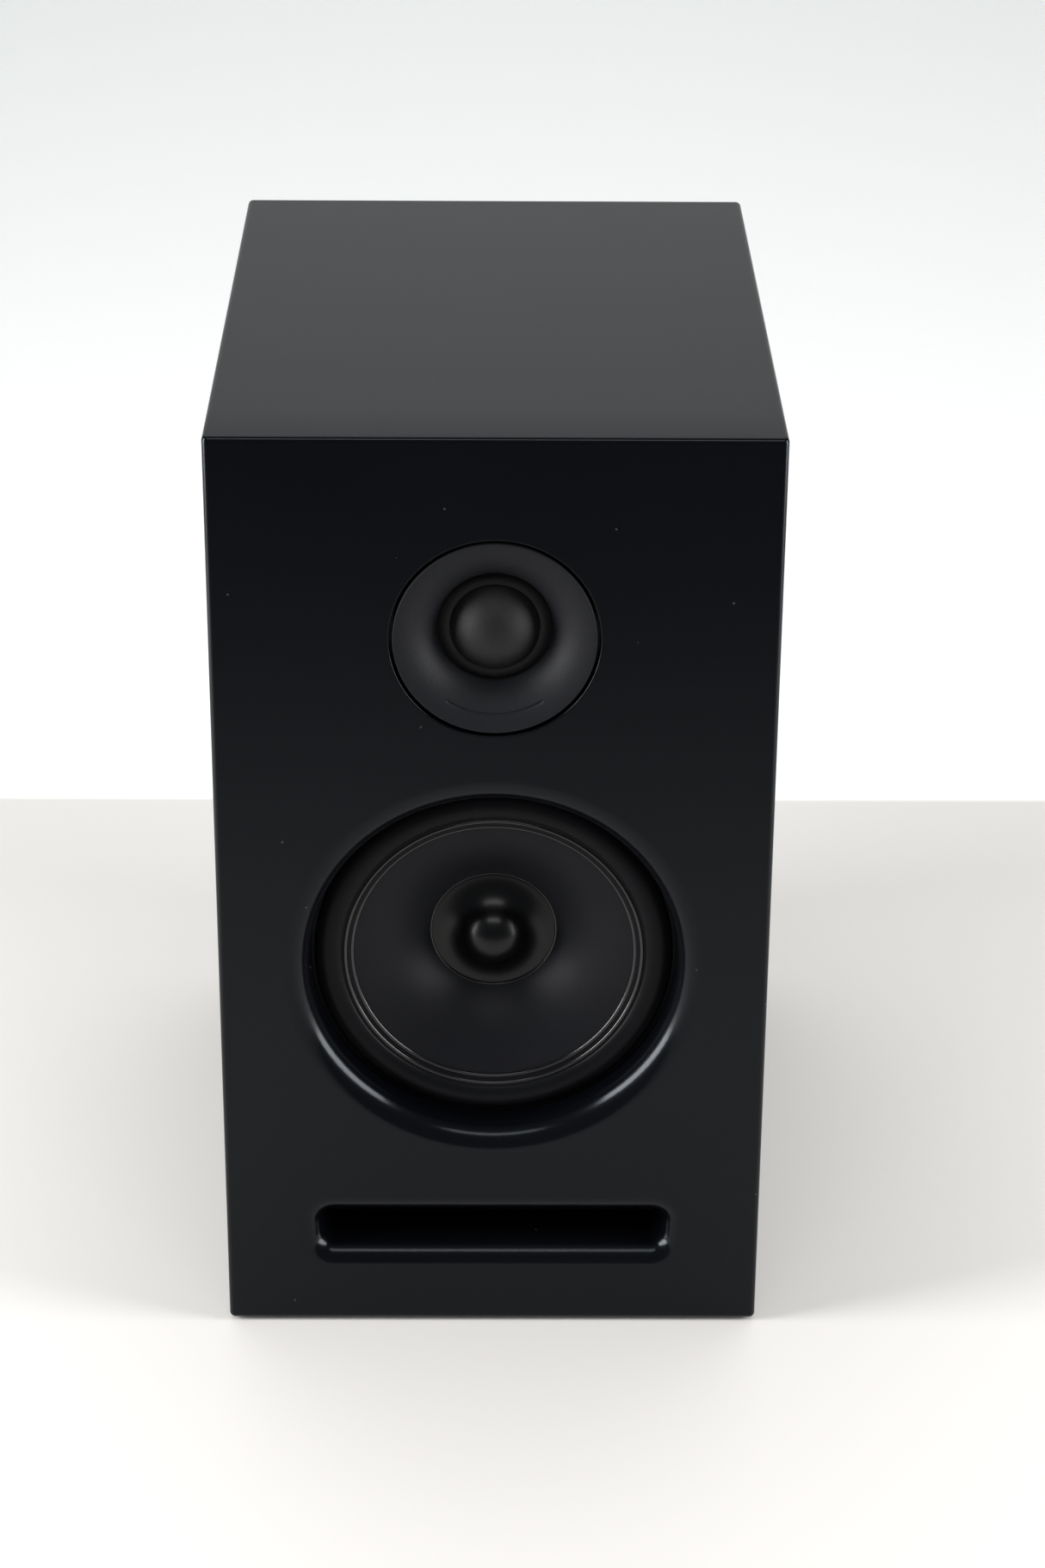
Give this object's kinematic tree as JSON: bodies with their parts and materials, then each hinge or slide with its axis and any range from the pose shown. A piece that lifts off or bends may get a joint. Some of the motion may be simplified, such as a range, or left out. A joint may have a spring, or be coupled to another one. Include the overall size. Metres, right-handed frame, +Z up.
{
  "type": "bookshelf speaker",
  "caption": "Two-way bookshelf loudspeaker: painted box with a slot port, a flared woofer opening and a dome tweeter in a shallow horn; recessed binding posts behind.",
  "frame": {"origin": "on the surface that the pads stand on, under the middle of the box", "axes": "+Z up, the baffle faces -Y, +X to the right of someone who looks at the baffle"},
  "size_m": [0.185, 0.255, 0.331],
  "materials": {
    "cabinet_paint": "satin black paint on fibreboard",
    "bare_board": "unpainted fibreboard",
    "foot_felt": "matt black",
    "gasket_foam": "matt closed-cell foam",
    "black_screw": "black oxide",
    "steel": "zinc plated",
    "duct_plastic": "moulded black plastic",
    "basket_cast": "black powder coat",
    "surround_rubber": "satin black rubber",
    "cone_plastic": "satin black polypropylene",
    "cap_plastic": "satin black polypropylene",
    "former_film": "glass-fibre film",
    "coil_copper": "enamelled copper wire",
    "spider_cloth": "resin-dipped cloth",
    "ferrite": "matt ferrite",
    "terminal_board": "phenolic board",
    "faceplate_plastic": "fine matt moulded plastic",
    "dome_cloth": "coated woven cloth",
    "cup_plastic": "fine-textured black plastic",
    "brass": "gold plated",
    "red_plastic": "clear-coated red plastic",
    "black_nut_plastic": "clear-coated black plastic",
    "board_green": "solder-masked board",
    "nylon": "natural nylon",
    "film_yellow": "glossy film wrap",
    "sleeve_blue": "printed sleeve, left plain",
    "cement_white": "unglazed cement",
    "wire_red": "wire insulation",
    "wire_blue": "wire insulation",
    "wire_yellow": "wire insulation",
    "tinsel": "braided tinsel wire",
    "lining_felt": "grey acoustic felt"
  },
  "bodies": {
    "cabinet": {"front_baffle": "cabinet_paint", "left_side": "cabinet_paint", "right_side": "cabinet_paint", "top_panel": "cabinet_paint", "bottom_panel": "cabinet_paint", "back_panel": "cabinet_paint", "back_gasket": "gasket_foam", "back_screws": "black_screw", "window_brace": "bare_board", "foot_pads": "foot_felt", "port_duct": "duct_plastic", "port_duct_screws": "steel", "woofer_basket": "basket_cast", "woofer_gasket": "gasket_foam", "woofer_surround": "surround_rubber", "woofer_spider": "spider_cloth", "woofer_top_plate": "steel", "woofer_magnet": "ferrite", "woofer_yoke": "steel", "woofer_terminals": "terminal_board", "woofer_tinsel_leads": "tinsel", "woofer_screws": "black_screw", "tweeter_faceplate": "faceplate_plastic", "tweeter_surround": "dome_cloth", "tweeter_top_plate": "steel", "tweeter_magnet": "ferrite", "tweeter_yoke": "steel", "tweeter_rear_chamber": "duct_plastic", "tweeter_terminals": "terminal_board", "tweeter_screws": "black_screw", "terminal_cup": "cup_plastic", "terminal_cup_gasket": "gasket_foam", "terminal_cup_screws": "black_screw", "red_post": "brass", "black_post": "brass", "post_lock_nuts": "brass", "crossover_board": "board_green", "board_standoffs": "nylon", "board_screws": "steel", "woofer_choke": "coil_copper", "tweeter_choke": "coil_copper", "film_capacitors": "film_yellow", "electrolytic_capacitor": "sleeve_blue", "cement_resistors": "cement_white", "input_wires": "wire_red", "woofer_wires": "wire_blue", "tweeter_wires": "wire_yellow", "side_lining": "lining_felt", "top_lining": "lining_felt"},
    "woofer_diaphragm": {"woofer_cone": "cone_plastic", "woofer_dust_cap": "cap_plastic", "woofer_coil_former": "former_film", "woofer_voice_coil": "coil_copper"},
    "tweeter_diaphragm": {"tweeter_dome": "dome_cloth", "tweeter_voice_coil": "coil_copper"},
    "red_washer": {"red_post_washer": "brass"},
    "red_nut": {"red_post_nut": "red_plastic"},
    "black_washer": {"black_post_washer": "brass"},
    "black_nut": {"black_post_nut": "black_nut_plastic"}
  },
  "joints": [
    {"name": "woofer_travel", "type": "slide", "parent": "cabinet", "child": "woofer_diaphragm", "axis": [0, -1, 0], "range_m": [-0.005, 0.005], "stiffness_N_per_m": 1000, "deforming": ["woofer_surround", "woofer_spider", "woofer_tinsel_leads"]},
    {"name": "tweeter_travel", "type": "slide", "parent": "cabinet", "child": "tweeter_diaphragm", "axis": [0, -1, 0], "range_m": [-0.0004, 0.0004], "stiffness_N_per_m": 500, "deforming": ["tweeter_surround"]},
    {"name": "red_nut_feed", "type": "slide", "parent": "cabinet", "child": "red_washer", "axis": [0, 1, 0], "range_m": [0, 0.005]},
    {"name": "red_nut_turn", "type": "hinge", "parent": "red_washer", "child": "red_nut", "pos_m": [-0.0095, 0.11, 0.085], "axis": [0, 1, 0], "range_deg": [0, 1801]},
    {"name": "black_nut_feed", "type": "slide", "parent": "cabinet", "child": "black_washer", "axis": [0, 1, 0], "range_m": [0, 0.005]},
    {"name": "black_nut_turn", "type": "hinge", "parent": "black_washer", "child": "black_nut", "pos_m": [0.0095, 0.11, 0.085], "axis": [0, 1, 0], "range_deg": [0, 1801]}
  ],
  "couplings": [
    {"joint": "red_nut_turn", "follows": "red_nut_feed", "rad_per_m": 6283.2},
    {"joint": "black_nut_turn", "follows": "black_nut_feed", "rad_per_m": 6283.2}
  ]
}
